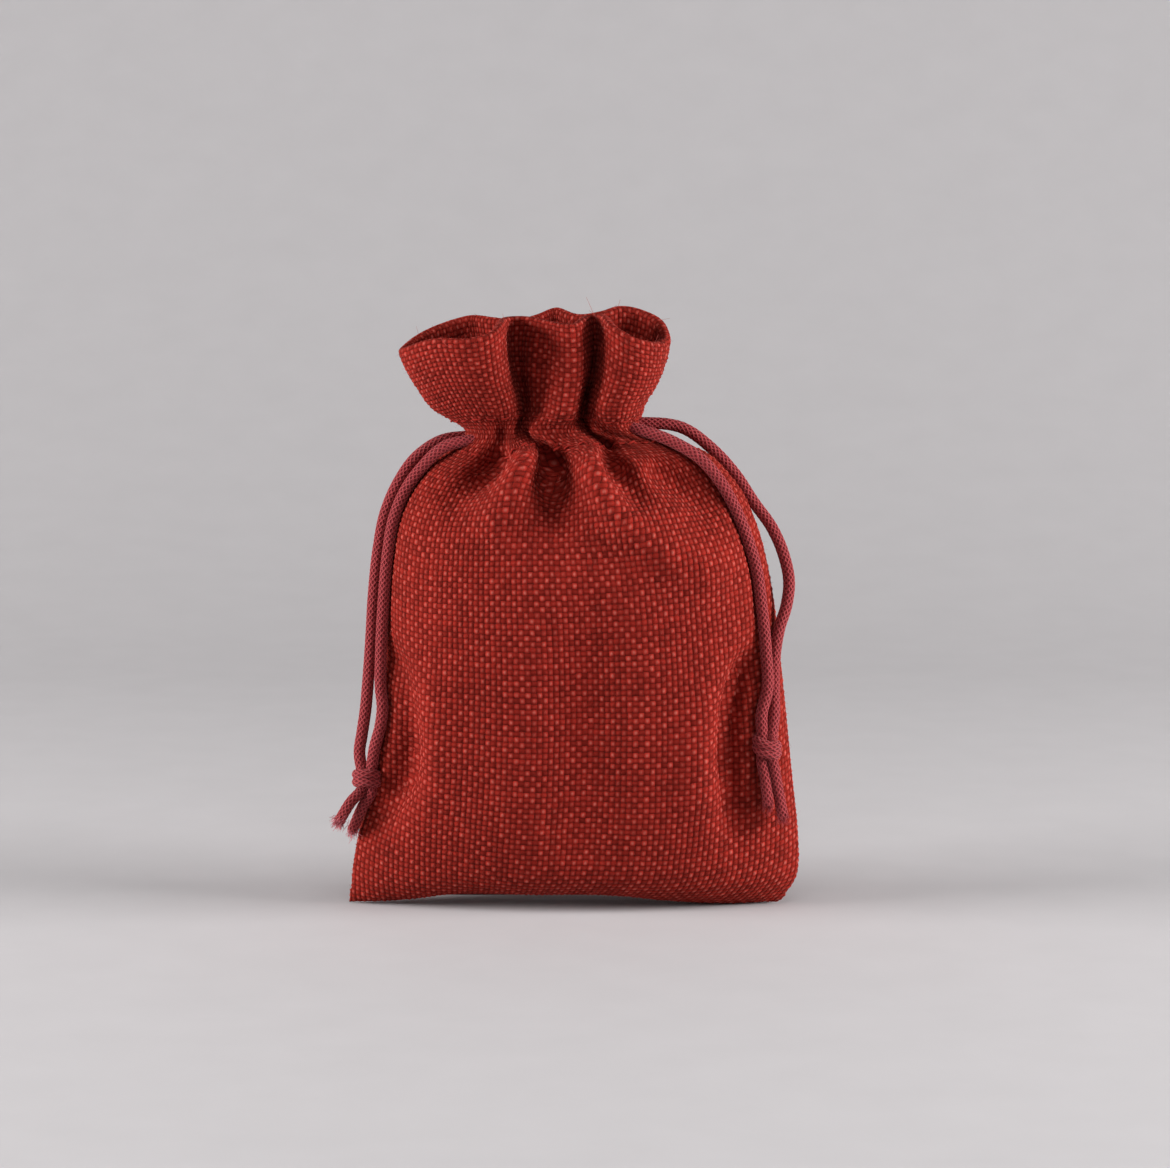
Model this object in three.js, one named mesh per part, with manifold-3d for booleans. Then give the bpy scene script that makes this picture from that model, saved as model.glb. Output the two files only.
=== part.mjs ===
// A small woven drawstring pouch, standing full and drawn shut at the neck.
// One folded and sewn cloth makes the bag. Two braided cords run through the casing at its neck, each a
// loop that leaves by the slot on its own side and is knotted in its two ends.
// Millimetres, +Z up. The origin is the middle of the base, on the surface that the pouch stands on.
// The front faces -Y.
import * as THREE from 'three';
import { mergeVertices } from 'three/addons/utils/BufferGeometryUtils.js';
import Module from 'manifold-3d';

const wasm = await Module();
wasm.setup();

// Cloth
const FLAT_WIDTH = 100; // seam to seam, as the empty pouch lies flat
const BELLY_HALF_DEPTH = 21; // of the full pouch, at its deepest
const CLOTH = 1.2; // one layer of the coarse weave
const HEM = 2.4; // the cloth folded double round the mouth
const EAR = 7; // how far the two layers lie together in a bottom corner

// Heights
const BOTTOM_Z = 4; // where the rounded underside turns up into the walls
const HIP_Z = 28; // where the flat corner ears run out into the full belly
const NECK_Z = 105.5; // middle of the casing
const RUFFLE_HEIGHT = 26.5; // rim above the middle of the casing

// Neck, drawn in, and mouth
const NECK_HALF_WIDTH = 19.5;
const NECK_HALF_DEPTH = 10.5;
const NECK_LEAN = -4.5; // the neck and mouth lean to the left
const RIM_HALF_WIDTH = 28;
const RIM_HALF_DEPTH = 15.5;
const RIM_LEAN = -8.5;
const RIM_WAVE = 0.07; // swing of the lobes round the mouth, as a share of the radius
const RIM_LOBES = 6;

// Cords and casing
const CORD_DIAMETER = 2.6;
const CORD_CLEARANCE = 0.6; // round a cord inside the casing
const CORD_GAP = 0.4; // between two cords, and between a cord and its knot
const GATHER = 2.5; // the gathered cloth outside the casing
const EXIT_HALF_GAP = 3.6; // from the side seam to each strand where it comes out

// Knots and tails
const KNOT_RADIUS = 3.1;
const KNOT_HEIGHT = 5.6;
const TAIL_OVERLAP = 1.5; // how far a tail starts inside its knot

// Facets
const ROUND_SEGMENTS = 48; // round the pouch
const ROWS_PER_STATION = 3; // between two stations of a wall
const CORD_SIDES = 8;
const CORD_STEPS = 80;
const TAIL_STEPS = 6;
const ARC_STEPS = 8; // round one end of a cord's loop
const KNOT_SEGMENTS = 16;
const ABOVE_RIM = 2; // how far a cut runs past the rim

const CORD_RADIUS = CORD_DIAMETER / 2;
const KNOT_ENTRY = CORD_RADIUS + CORD_GAP / 2; // of each strand and tail beside the middle of its knot
const RIM_Z = NECK_Z + RUFFLE_HEIGHT;
const CASING_HEIGHT = 2 * CORD_DIAMETER + CORD_GAP + 2 * CORD_CLEARANCE;
const CASING_HALF_GAP = CORD_RADIUS + CORD_CLEARANCE; // to each side of a cord's middle line
const CORD_LEVEL = (CORD_DIAMETER + CORD_GAP) / 2; // of a cord above or below the middle of the casing
const LOOP_HALF_WIDTH = NECK_HALF_WIDTH - GATHER - CASING_HALF_GAP; // of a cord's middle line in the casing
const LOOP_RADIUS = NECK_HALF_DEPTH - GATHER - CASING_HALF_GAP; // at the two ends of that line
const HOLE_HALF_WIDTH = LOOP_HALF_WIDTH - CASING_HALF_GAP - CLOTH;
const HOLE_HALF_DEPTH = LOOP_RADIUS - CASING_HALF_GAP - CLOTH;

const CLOTH_RED = new THREE.MeshStandardMaterial({ color: 0x8f2a22, roughness: 0.95, metalness: 0 });
const CORD_WINE = new THREE.MeshStandardMaterial({ color: 0x84383b, roughness: 0.7, metalness: 0 });

// One level of a wall: half the width and depth of its outline, how sharply the side seams pinch it
// (1 is an ellipse), how far it leans along X, and the swing of its lobes.
function station(z, halfWidth, halfDepth, pinch = 1, lean = 0, wave = 0) {
  return { z, halfWidth, halfDepth, pinch, lean, wave };
}

// Outside of the cloth, from the flat underside to the rim. A level of the body is named by how far its sides
// draw in from the flat width as it fills, and by how much shallower it is than the belly.
const side = (drawIn) => FLAT_WIDTH / 2 - drawIn;
const deep = (shallower) => BELLY_HALF_DEPTH - shallower;
const NECK_HALF_HEIGHT = (CASING_HEIGHT + CLOTH) / 2;
const OUTSIDE = [
  station(0, side(2.5), deep(11), 1.6),
  station(BOTTOM_Z, side(0), deep(7.5), 1.5),
  station(HIP_Z, side(4.8), deep(2), 1.25, 2.2),
  station(NECK_Z - 45, side(8), deep(0), 1.05, 1),
  station(NECK_Z - 28, side(10.2), deep(0), 1, 0.5),
  station(NECK_Z - 15, side(14.5), deep(1.5)),
  station(NECK_Z - 8, side(20), deep(4.5)),
  station(NECK_Z - NECK_HALF_HEIGHT, NECK_HALF_WIDTH, NECK_HALF_DEPTH, 1, NECK_LEAN),
  station(NECK_Z + NECK_HALF_HEIGHT, NECK_HALF_WIDTH, NECK_HALF_DEPTH, 1, NECK_LEAN),
  station(NECK_Z + RUFFLE_HEIGHT / 2, (NECK_HALF_WIDTH + RIM_HALF_WIDTH) / 2,
    (NECK_HALF_DEPTH + RIM_HALF_DEPTH) / 2, 1, (NECK_LEAN + RIM_LEAN) / 2, RIM_WAVE / 2),
  station(RIM_Z, RIM_HALF_WIDTH, RIM_HALF_DEPTH, 1, RIM_LEAN, RIM_WAVE),
];

// Inside of the cloth. At the base the two layers lie together in the corner ears. At the neck the gathered
// cloth and its casing leave only a narrow hole, and the space runs on past the rim, so the mouth is open.
const HOLE_FLOOR_Z = NECK_Z - CASING_HEIGHT / 2 - CLOTH;
const HOLE_TOP_Z = NECK_Z + CASING_HEIGHT / 2 + CLOTH;
const [UNDERSIDE, BOTTOM, HIP, WAIST, CHEST, SHOULDER, YOKE] = OUTSIDE;
const [RUFFLE, RIM] = OUTSIDE.slice(-2);
const lined = (outer, seam, layer) => ({
  ...outer,
  halfWidth: outer.halfWidth - seam,
  halfDepth: outer.halfDepth - layer,
});
const INSIDE = [
  { ...lined(UNDERSIDE, EAR, CLOTH), z: CLOTH },
  lined(BOTTOM, EAR, CLOTH),
  lined(HIP, (EAR + CLOTH) / 2, CLOTH),
  lined(WAIST, CLOTH, CLOTH),
  lined(CHEST, CLOTH, CLOTH),
  lined(SHOULDER, 2 * CLOTH, 2 * CLOTH),
  { ...lined(YOKE, 3 * CLOTH, 3 * CLOTH), z: YOKE.z - 2 * CLOTH },
  station(HOLE_FLOOR_Z, HOLE_HALF_WIDTH, HOLE_HALF_DEPTH, 1, NECK_LEAN),
  station(HOLE_TOP_Z, HOLE_HALF_WIDTH, HOLE_HALF_DEPTH, 1, NECK_LEAN),
  lined(RUFFLE, HEM, HEM),
  lined(RIM, HEM, HEM),
  { ...lined(RIM, HEM, HEM), z: RIM_Z + ABOVE_RIM },
];

// The outline at a height, between stations.
function outlines(stations) {
  const keys = ['halfWidth', 'halfDepth', 'pinch', 'lean', 'wave'];
  const heights = stations.map((level) => level.z);
  const values = stations.flatMap((level) => keys.map((key) => level[key]));
  const between = new THREE.LinearInterpolant(heights, values, keys.length);
  return (z) => Object.fromEntries(keys.map((key, i) => [key, between.evaluate(z)[i]]));
}

// Heights from the first station to the last, a few to each stretch.
function rowHeights(stations) {
  const heights = [];
  for (let i = 0; i + 1 < stations.length; i++) {
    for (let k = 0; k < ROWS_PER_STATION; k++) {
      heights.push(THREE.MathUtils.lerp(stations[i].z, stations[i + 1].z, k / ROWS_PER_STATION));
    }
  }
  return [...heights, stations.at(-1).z];
}

// A solid with these outlines: a turned body whose rings are pressed from circles into the pouch's sections.
function lofted(stations) {
  const outlineAt = outlines(stations);
  const rows = rowHeights(stations).map((z) => new THREE.Vector2(outlineAt(z).halfWidth, z));
  const profile = [new THREE.Vector2(0, rows[0].y), ...rows, new THREE.Vector2(0, rows.at(-1).y)];
  const geometry = new THREE.LatheGeometry(profile, ROUND_SEGMENTS).rotateX(Math.PI / 2);
  const place = geometry.getAttribute('position');
  for (let i = 0; i < place.count; i++) {
    const z = place.getZ(i);
    const outline = outlineAt(z);
    const angle = Math.atan2(place.getY(i), place.getX(i));
    const share = Math.hypot(place.getX(i), place.getY(i)) / outline.halfWidth;
    const swing = share * (1 + outline.wave * Math.cos(RIM_LOBES * angle));
    const pinched = Math.sign(Math.sin(angle)) * Math.abs(Math.sin(angle)) ** outline.pinch;
    const x = outline.lean + swing * outline.halfWidth * Math.cos(angle);
    place.setXYZ(i, x, swing * outline.halfDepth * pinched, z);
  }
  return solid(geometry);
}

// A three.js geometry as a solid that can be joined and cut, and back again.
function solid(geometry) {
  const bare = geometry.clone();
  bare.deleteAttribute('normal');
  bare.deleteAttribute('uv');
  const merged = mergeVertices(bare, 1e-4);
  const mesh = new wasm.Mesh({
    numProp: 3,
    vertProperties: merged.getAttribute('position').array,
    triVerts: new Uint32Array(merged.index.array),
  });
  return new wasm.Manifold(mesh);
}

function geometryOf(made) {
  const mesh = made.getMesh();
  const geometry = new THREE.BufferGeometry();
  geometry.setAttribute('position', new THREE.BufferAttribute(mesh.vertProperties, mesh.numProp));
  geometry.setIndex(new THREE.BufferAttribute(mesh.triVerts, 1));
  geometry.computeVertexNormals();
  return geometry;
}

function piece(name, made, material) {
  const mesh = new THREE.Mesh(geometryOf(made), material);
  mesh.name = name;
  return mesh;
}

// A slot with round ends, about the middle of the neck.
function roundSlot(halfWidth, radius) {
  const straight = halfWidth - radius;
  return new THREE.Shape()
    .absarc(NECK_LEAN + straight, 0, radius, -Math.PI / 2, Math.PI / 2)
    .absarc(NECK_LEAN - straight, 0, radius, Math.PI / 2, (3 * Math.PI) / 2)
    .closePath();
}

// A shape carried up through the height of the casing.
function throughCasing(shape) {
  const settings = { depth: CASING_HEIGHT, bevelEnabled: false, curveSegments: 2 * ARC_STEPS };
  return solid(new THREE.ExtrudeGeometry(shape, settings).translate(0, 0, NECK_Z - CASING_HEIGHT / 2));
}

// The tunnel that the two cords share: a ring round the neck, inside the folded cloth.
function casing() {
  const ring = roundSlot(LOOP_HALF_WIDTH + CASING_HALF_GAP, LOOP_RADIUS + CASING_HALF_GAP);
  ring.holes.push(roundSlot(LOOP_HALF_WIDTH - CASING_HALF_GAP, LOOP_RADIUS - CASING_HALF_GAP));
  return throughCasing(ring);
}

// The slot at a side seam, where the casing is open and a cord comes out. Handed is -1 on the left, 1 on the
// right.
function sideSlot(handed) {
  const inner = LOOP_HALF_WIDTH - LOOP_RADIUS;
  const outer = NECK_HALF_WIDTH + HEM;
  const width = 2 * (LOOP_RADIUS + CASING_HALF_GAP);
  const slot = new THREE.BoxGeometry(outer - inner, width, CASING_HEIGHT);
  return solid(slot.translate(NECK_LEAN + (handed * (outer + inner)) / 2, 0, NECK_Z));
}

function pouchCloth() {
  const holeWall = roundSlot(LOOP_HALF_WIDTH - CASING_HALF_GAP, LOOP_RADIUS - CASING_HALF_GAP);
  const slots = sideSlot(-1).add(sideSlot(1)).subtract(throughCasing(holeWall));
  const bag = lofted(OUTSIDE).subtract(lofted(INSIDE)).subtract(casing()).subtract(slots);
  return piece('pouch_cloth', bag, CLOTH_RED);
}

// The free run of each strand between its slot and its knot, chosen by hand. A point is how far the face of
// the cord next to the cloth lies in from the flat width, its place along Y, and its drop below the casing.
const LEFT_FRONT_RUN = [
  [22.8, -4.2, 3.3], [18.3, -4.8, 7.5], [14.6, -5.0, 12.6], [12.1, -5.0, 18.6], [10.6, -5.0, 27],
  [9.6, -5.0, 38], [9.0, -5.2, 49], [8.9, -5.6, 56], [9.3, -6.0, 60.4], [8.8, -5.8, 64.6], [7.6, -5.2, 69],
];
const LEFT_BACK_RUN = [
  [21.7, 1.6, 2.6], [16.8, 0.4, 5.9], [12.8, -0.4, 11.5], [10.1, -0.8, 17.7], [8.4, -1.0, 26],
  [7.3, -1.2, 36], [6.6, -1.4, 47], [5.9, -1.8, 56], [5.4, -2.2, 61.4], [4.6, -2.4, 66.8], [4.0, -2.6, 71],
];
const RIGHT_FRONT_RUN = [
  [29.9, -6.0, 1.8], [24.0, -8.0, 5.2], [19.6, -8.6, 10.2], [16.4, -8.8, 15.9], [13.7, -8.8, 22.5],
  [11.7, -9.0, 29], [10.4, -9.4, 38], [9.5, -10.2, 47], [9.2, -11.2, 55.7], [10.4, -11.6, 61],
];
const RIGHT_BACK_RUN = [
  [26.7, 4.2, 0.2], [20.8, 3.8, 4.6], [15.7, 2.8, 10.2], [11.9, 1.4, 15.9], [7.9, -0.2, 21.4],
  [5.3, -1.6, 27.4], [4.2, -3.0, 33.2], [4.8, -4.2, 38], [6.4, -5.4, 43], [7.4, -6.6, 49], [7.6, -8.2, 56],
  [7.6, -9.9, 61],
];

// The place of each knot in the same way, by its faces next to the cloth.
const LEFT_KNOT_PLACE = [7.4, -0.4, 76.7];
const RIGHT_KNOT_PLACE = [11.0, -8.3, 68];

// A point beside the cloth, for a thing of this radius.
const beside = (handed, radius, [drawIn, y, drop]) =>
  new THREE.Vector3(handed * (side(drawIn) + radius), y, NECK_Z - drop);

function knotMiddle(handed, [drawIn, y, drop]) {
  return beside(handed, KNOT_RADIUS, [drawIn, y - KNOT_RADIUS, drop]);
}

// A cord's middle line in the casing, from the slot on its side, along the front, round the far end and back.
function loopPoints(handed, level) {
  const z = NECK_Z + level;
  const straight = LOOP_HALF_WIDTH - LOOP_RADIUS;
  const far = NECK_LEAN - handed * straight;
  const near = NECK_LEAN + handed * straight;
  const points = [new THREE.Vector3(near, -LOOP_RADIUS, z), new THREE.Vector3(NECK_LEAN, -LOOP_RADIUS, z)];
  for (let i = 0; i <= ARC_STEPS; i++) {
    const turn = (Math.PI * i) / ARC_STEPS;
    const x = far - handed * LOOP_RADIUS * Math.sin(turn);
    points.push(new THREE.Vector3(x, -LOOP_RADIUS * Math.cos(turn), z));
  }
  return [...points, new THREE.Vector3(NECK_LEAN, LOOP_RADIUS, z), new THREE.Vector3(near, LOOP_RADIUS, z)];
}

// A round cord along a smooth line through the points.
function cordAlong(points, steps) {
  const section = new THREE.Shape().absarc(0, 0, CORD_RADIUS, 0, 2 * Math.PI);
  const extrudePath = new THREE.CatmullRomCurve3(points, false, 'centripetal');
  return solid(new THREE.ExtrudeGeometry(section, { steps, extrudePath, curveSegments: CORD_SIDES / 2 }));
}

// A whole cord: down from its slot on both strands, to where the two go into the knot side by side.
function drawcord(name, handed, level, frontRun, backRun, knotPlace) {
  const strand = (run, facing) => [
    new THREE.Vector3(NECK_LEAN + handed * NECK_HALF_WIDTH, facing * EXIT_HALF_GAP, NECK_Z + level),
    ...run.map((point) => beside(handed, CORD_RADIUS, point)),
    new THREE.Vector3(facing * handed * KNOT_ENTRY, 0, KNOT_HEIGHT / 2 + CORD_GAP)
      .add(knotMiddle(handed, knotPlace)),
  ];
  const points = [...strand(frontRun, -1).reverse(), ...loopPoints(handed, level), ...strand(backRun, 1)];
  return piece(name, cordAlong(points, CORD_STEPS), CORD_WINE);
}

// The knot in a cord's two ends, with the two tails that hang out of it, each named by where its end hangs.
function knot(name, handed, place, tailEnds) {
  const round = new THREE.SphereGeometry(KNOT_RADIUS, KNOT_SEGMENTS, KNOT_SEGMENTS / 2);
  const squat = round.rotateX(Math.PI / 2).scale(1, 1, KNOT_HEIGHT / 2 / KNOT_RADIUS);
  let bulb = solid(squat);
  tailEnds.forEach((tailEnd, i) => {
    const from = new THREE.Vector3((2 * i - 1) * KNOT_ENTRY, 0, TAIL_OVERLAP - KNOT_HEIGHT / 2);
    const to = new THREE.Vector3(...tailEnd);
    const bend = new THREE.Vector3(from.x, 0, to.z / 2 - KNOT_HEIGHT / 4).lerp(to, 1 / 3);
    bulb = bulb.add(cordAlong([from, bend, to], TAIL_STEPS));
  });
  return piece(name, bulb.translate(knotMiddle(handed, place).toArray()), CORD_WINE);
}

const pouch = new THREE.Group();
pouch.add(
  pouchCloth(),
  drawcord('left_drawcord', -1, -CORD_LEVEL, LEFT_FRONT_RUN, LEFT_BACK_RUN, LEFT_KNOT_PLACE),
  drawcord('right_drawcord', 1, CORD_LEVEL, RIGHT_FRONT_RUN, RIGHT_BACK_RUN, RIGHT_KNOT_PLACE),
  knot('left_knot', -1, LEFT_KNOT_PLACE, [[-6.2, -3, -9.3], [-3.4, 0.4, -12.2]]),
  knot('right_knot', 1, RIGHT_KNOT_PLACE, [[0.4, -0.6, -13.5], [3.8, 0.4, -16.6]]),
);

export default pouch;
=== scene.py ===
"""Drawstring pouch: the finished cloth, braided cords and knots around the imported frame.

Every shape is worked out in millimetres with numpy and put into its mesh in metres.
"""
import math

import bpy
import numpy as np
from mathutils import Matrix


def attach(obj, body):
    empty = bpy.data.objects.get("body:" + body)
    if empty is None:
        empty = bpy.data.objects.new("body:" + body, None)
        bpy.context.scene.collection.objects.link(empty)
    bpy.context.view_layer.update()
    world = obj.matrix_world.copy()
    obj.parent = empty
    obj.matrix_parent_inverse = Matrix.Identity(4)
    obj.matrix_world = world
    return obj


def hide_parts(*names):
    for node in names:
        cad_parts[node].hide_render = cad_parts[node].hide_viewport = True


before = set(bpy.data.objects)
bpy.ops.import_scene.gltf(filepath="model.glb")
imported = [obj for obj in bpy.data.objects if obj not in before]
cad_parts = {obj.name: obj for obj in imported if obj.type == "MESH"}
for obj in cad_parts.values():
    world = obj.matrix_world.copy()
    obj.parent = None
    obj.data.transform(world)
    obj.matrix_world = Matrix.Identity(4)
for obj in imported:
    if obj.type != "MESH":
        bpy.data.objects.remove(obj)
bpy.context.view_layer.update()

bl_info = {
    "name": "Drawstring Pouch",
    "version": (1, 0, 0),
    "blender": (4, 5, 0),
    "location": "View3D > Sidebar > Pouch",
    "description": "Builds a gathered cloth pouch with braided drawcords around its CAD frame",
    "category": "Object",
}

MM = 0.001
# Half the sewn width, the drawn neck's height, lean and half width, and where the strands leave it.
SEAM_HALF = 50.0
NECK_Z = 105.5
NECK_LEAN = -4.5
NECK_HALF_WIDTH = 19.5
EXIT_HALF_GAP = 3.6
LEVEL = 1.5
# How far each strand runs on inside the casing, and how many of its points lie there.
HIDDEN_RUN = 4.0
HIDDEN_POINTS = 18
CORD_RADIUS = 1.3
BRAID_STRANDS = 8.0
BRAID_PITCH = 1.3
PATH_STEP = 0.3
# The knot's wrap: its turns, half width, half depth and half height.
WRAP_TURNS = 2.3
WRAP_HALF = (2.1, 1.9, 1.9)
# How far the line above the casing stands over the neck, and the rim's extra hem.
ABOVE_RISE = 5.0
HEM_EXTRA = 1.0
# A stitch starts at every eighth point of the cloth's row and covers six.
STITCH_EVERY = 8
STITCH_POINTS = 6
FUZZ_COUNT = 4200
RIM_THREAD_COUNT = 54
MATTE = 0.08

# The camera and the lamps, in metres; each lamp has a name, place, width and power.
CAMERA_AIM = (0.0024, 0.0, 0.0716)
CAMERA_RISE = math.radians(8.0)
CAMERA_FAR = 0.9
CAMERA_LENS = 126.0
LAMP_AIM = (0.0, 0.0, 0.05)
LAMPS = (
    ("left_softbox", (-0.95, -0.21, 0.28), 0.5, 14.6),
    ("right_softbox", (0.95, -0.21, 0.28), 0.5, 16.0),
    ("top_softbox", (0.0, -0.50, 0.90), 0.6, 2.4),
)
WORLD_COLOUR = (1.0, 0.99, 0.98, 1.0)
WORLD_STRENGTH = 0.06
SWEEP_RADIUS = 700.0
SWEEP_START = 320.0
SWEEP_COLUMNS = 13

# Each strand's way down, as [drawn in from the side seam, y, drop below the neck].
LEFT_FRONT_RUN = [
    [22.8, -4.2, 3.3], [18.3, -4.8, 7.5], [14.6, -5, 12.6], [12.1, -5, 18.6], [10.6, -5, 27],
    [9.6, -5, 38], [9, -5.2, 49], [8.9, -5.6, 56], [9.3, -6, 60.4], [8.8, -5.8, 64.6],
    [7.6, -5.2, 69],
]
LEFT_BACK_RUN = [
    [21.7, 1.6, 2.6], [16.8, 0.4, 5.9], [12.8, -0.4, 11.5], [10.1, -0.8, 17.7], [8.4, -1, 26],
    [7.3, -1.2, 36], [6.6, -1.4, 47], [5.9, -1.8, 56], [5.4, -2.2, 61.4], [4.6, -2.4, 66.8],
    [4, -2.6, 71],
]
RIGHT_FRONT_RUN = [
    [29.9, -6, 1.8], [24, -8, 5.2], [19.6, -8.6, 10.2], [16.4, -8.8, 15.9], [13.7, -8.8, 22.5],
    [11.7, -9, 29], [10.4, -9.4, 38], [9.5, -10.2, 47], [9.2, -11.2, 55.7], [10.4, -11.6, 61],
]
RIGHT_BACK_RUN = [
    [26.7, 4.2, 0.2], [20.8, 3.8, 4.6], [15.7, 2.8, 10.2], [11.9, 1.4, 15.9], [7.9, -0.2, 21.4],
    [5.3, -1.6, 27.4], [4.2, -3, 33.2], [4.8, -4.2, 38], [6.4, -5.4, 43], [7.4, -6.6, 49],
    [7.6, -8.2, 56], [7.6, -9.9, 61],
]
KNOT_MIDDLES = {"left": (-45.7, -3.5, 28.8), "right": (42.1, -11.4, 37.5)}
TAIL_ENDS = {
    "left": [(-6.2, -3, -9.3), (-3.4, 0.4, -12.2)],
    "right": [(0.4, -0.6, -13.5), (3.8, 0.4, -16.6)],
}

# The body's rings from the fold up: height, left and right half width, half depth, pinch at the seams.
BODY_RINGS = [
    (0.3, 50.4, 45, 0.01, 1.6),
    (0.8, 50.3, 45.6, 4, 1.6),
    (2, 50.2, 46.8, 7.6, 1.55),
    (4.2, 50, 48.6, 10.8, 1.5),
    (8, 49.6, 50.2, 13.8, 1.42),
    (18, 47.6, 49.6, 17.4, 1.3),
    (28, 45.2, 48.2, 19.6, 1.2),
    (45, 42.6, 46.2, 21.6, 1.1),
    (59, 41.6, 44.6, 22, 1.04),
    (67, 41.2, 43.6, 21.9, 1),
    (76, 40.6, 42, 21.4, 0.96),
    (85, 39.4, 39.6, 20, 0.92),
    (92, 37, 36.8, 17.8, 0.9),
    (97.5, 33, 32.6, 14.8, 0.88),
    (101.4, 27, 27.6, 11.6, 0.86),
]
# The fold's arch off the floor, as x and rise.
FOLD_ARCH = [
    (-52, 0), (-43, 0.6), (-34, 1.6), (-29, 2.5), (-8, 2.8), (10, 2.5), (19, 1.3), (32, 0.2), (52, 0),
]
# The gathered neck from the left seam along the front to the right seam, and back along the far side.
NECK_LINE = [
    (-24, 0), (-22.2, -4), (-18.8, -6.8), (-15.9, -4.6), (-13.6, -7), (-11.4, -0.6), (-9, -7.2),
    (-6.5, -6.2), (-3.9, -6.4), (-1.3, -6.2), (1, -6.8), (2.8, -1.6), (5.4, -6.8), (8.4, -5.4),
    (10.8, -6.4), (12.8, -5.2), (14.6, -3.2), (15.6, 0), (14, 4.2), (11, 6.6), (8.6, 3), (6, 7.2),
    (3.6, 1.8), (1, 7.6), (-1.6, 3.4), (-4, 8), (-6.6, 3), (-9, 7.6), (-11.6, 1.8), (-14, 7.4),
    (-17, 4), (-20, 6.6), (-22.8, 3.6),
]
# Which of those points stand at which share of the way round the cloth.
NECK_ANCHORS = [(0, 0), (5, 0.205), (8, 0.272), (11, 0.345), (17, 0.5), (22, 0.62), (28, 0.79), (33, 1)]
# The ruffle just above the casing, where the small pleats have run together.
ABOVE_LINE = [
    (-31, 0), (-29, -4.4), (-24, -7.2), (-17.4, -8.4), (-12.6, -6.4), (-10.8, 3.4), (-9.2, -2),
    (-6.4, -6.2), (-3.2, -9.2), (0.2, -8.6), (1.2, -3.4), (2.2, 4.4), (3.4, -3.4), (5.6, -8.8),
    (10.4, -9.4), (13.8, -6), (15.4, 0), (13.8, 5.6), (10.6, 9), (7, 9.6), (4, 8.6), (1, 9.6),
    (-3, 10.6), (-8, 10), (-11.6, 7.8), (-15, 9.6), (-21, 9.8), (-28.4, 6),
]
ABOVE_ANCHORS = [(0, 0), (5, 0.205), (8, 0.272), (11, 0.345), (16, 0.5), (20, 0.62), (24, 0.79), (28, 1)]
# The rim in the same order.
RIM_LINE = [
    (-38.2, 0.4, 122), (-36.6, -5.4, 123), (-30.4, -11.4, 125.2), (-23.4, -14.4, 125.4),
    (-17.6, -13.8, 126.6), (-15, -8.4, 128.6), (-14.6, -1.6, 129.2), (-12.8, 3.4, 129.2),
    (-9.6, 0.8, 129.4), (-6.2, -3.4, 129), (-2.4, -8.4, 128.6), (0.9, -9, 128.8), (3, -2.6, 129.6),
    (4.4, 4.2, 129.8), (5.6, -2.8, 130), (7.6, -9.4, 128.4), (12.6, -12.6, 125.8), (17.6, -10, 124.4),
    (20.6, -3.4, 124.2), (20.9, 2.6, 125.8), (19.2, 8, 128.6), (14.2, 11.6, 130.6),
    (9.2, 11.4, 131.2), (5.8, 9.4, 130.2), (1.4, 10.2, 129.4), (-3.4, 12.8, 130.8), (-8, 12.4, 129.4),
    (-12, 10, 128.2), (-14.6, 9, 128.4), (-17.4, 10, 128.8), (-22.4, 12.4, 129), (-28.4, 11.2, 127.6),
    (-34, 8.2, 125.2), (-37.2, 4.8, 123),
]
RIM_ANCHORS = [(0, 0), (7, 0.205), (10, 0.272), (13, 0.345), (18, 0.5), (23, 0.62), (28, 0.79), (34, 1)]
# Folds pressed into a face: points of x, height, half width and lift along the way.
FRONT_FOLDS = [
    [(-4.6, 105, 2.2, -1.6), (-4.8, 102, 2.7, -4.4), (-4.6, 98, 3.3, -5), (-4, 92, 4.8, -2.8),
     (-2.6, 83, 6.4, -1)],
    [(2, 105, 2, 1.6), (4.4, 98, 2.8, 3), (10, 89, 3.6, 2.8), (22, 80.5, 5, 2), (37, 74, 6, 0.8)],
    [(6.2, 105.5, 1.6, -1.2), (8.2, 100.5, 2, -2.8), (11.4, 95.5, 2.6, -1.8), (16, 90, 3.6, -0.4)],
    [(-14.6, 103.5, 2, -2.4), (-18, 99, 2.6, -4.4), (-23, 94.5, 3.2, -2), (-29, 89, 4, -0.4)],
    [(-9.6, 104, 1.8, 1.2), (-11.4, 98, 2.4, 2.4), (-15, 91, 3.6, 1.8), (-20, 83, 5, 0.8)],
    [(15, 100, 2.6, -1), (20, 97, 3, -2.6), (26, 93.5, 3.4, -2.4), (32, 87, 4, -0.6)],
    [(40, 62, 2, -0.6), (35.4, 52, 2.4, -3), (33.4, 36, 2.6, -3.2), (35.2, 20, 3, -1.4), (37, 9, 4, 0)],
    [(29, 55, 4, 0.4), (27, 38, 4.4, 0.9), (28, 20, 5, 0.5)],
    [(-41, 63, 2.6, -1), (-36.4, 47, 2.8, -2), (-37.8, 29, 3.6, -4), (-43.5, 19, 3.2, -1),
     (-46, 12, 3, 0)],
    [(-30, 60, 6, 0.3), (-31, 38, 5, 1), (-36, 16, 6, 0.6)],
    [(3, 76, 7, -0.5), (2, 52, 9, -2.4), (2, 24, 9, -1.8), (0, 6, 8, -0.4)],
]
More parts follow.
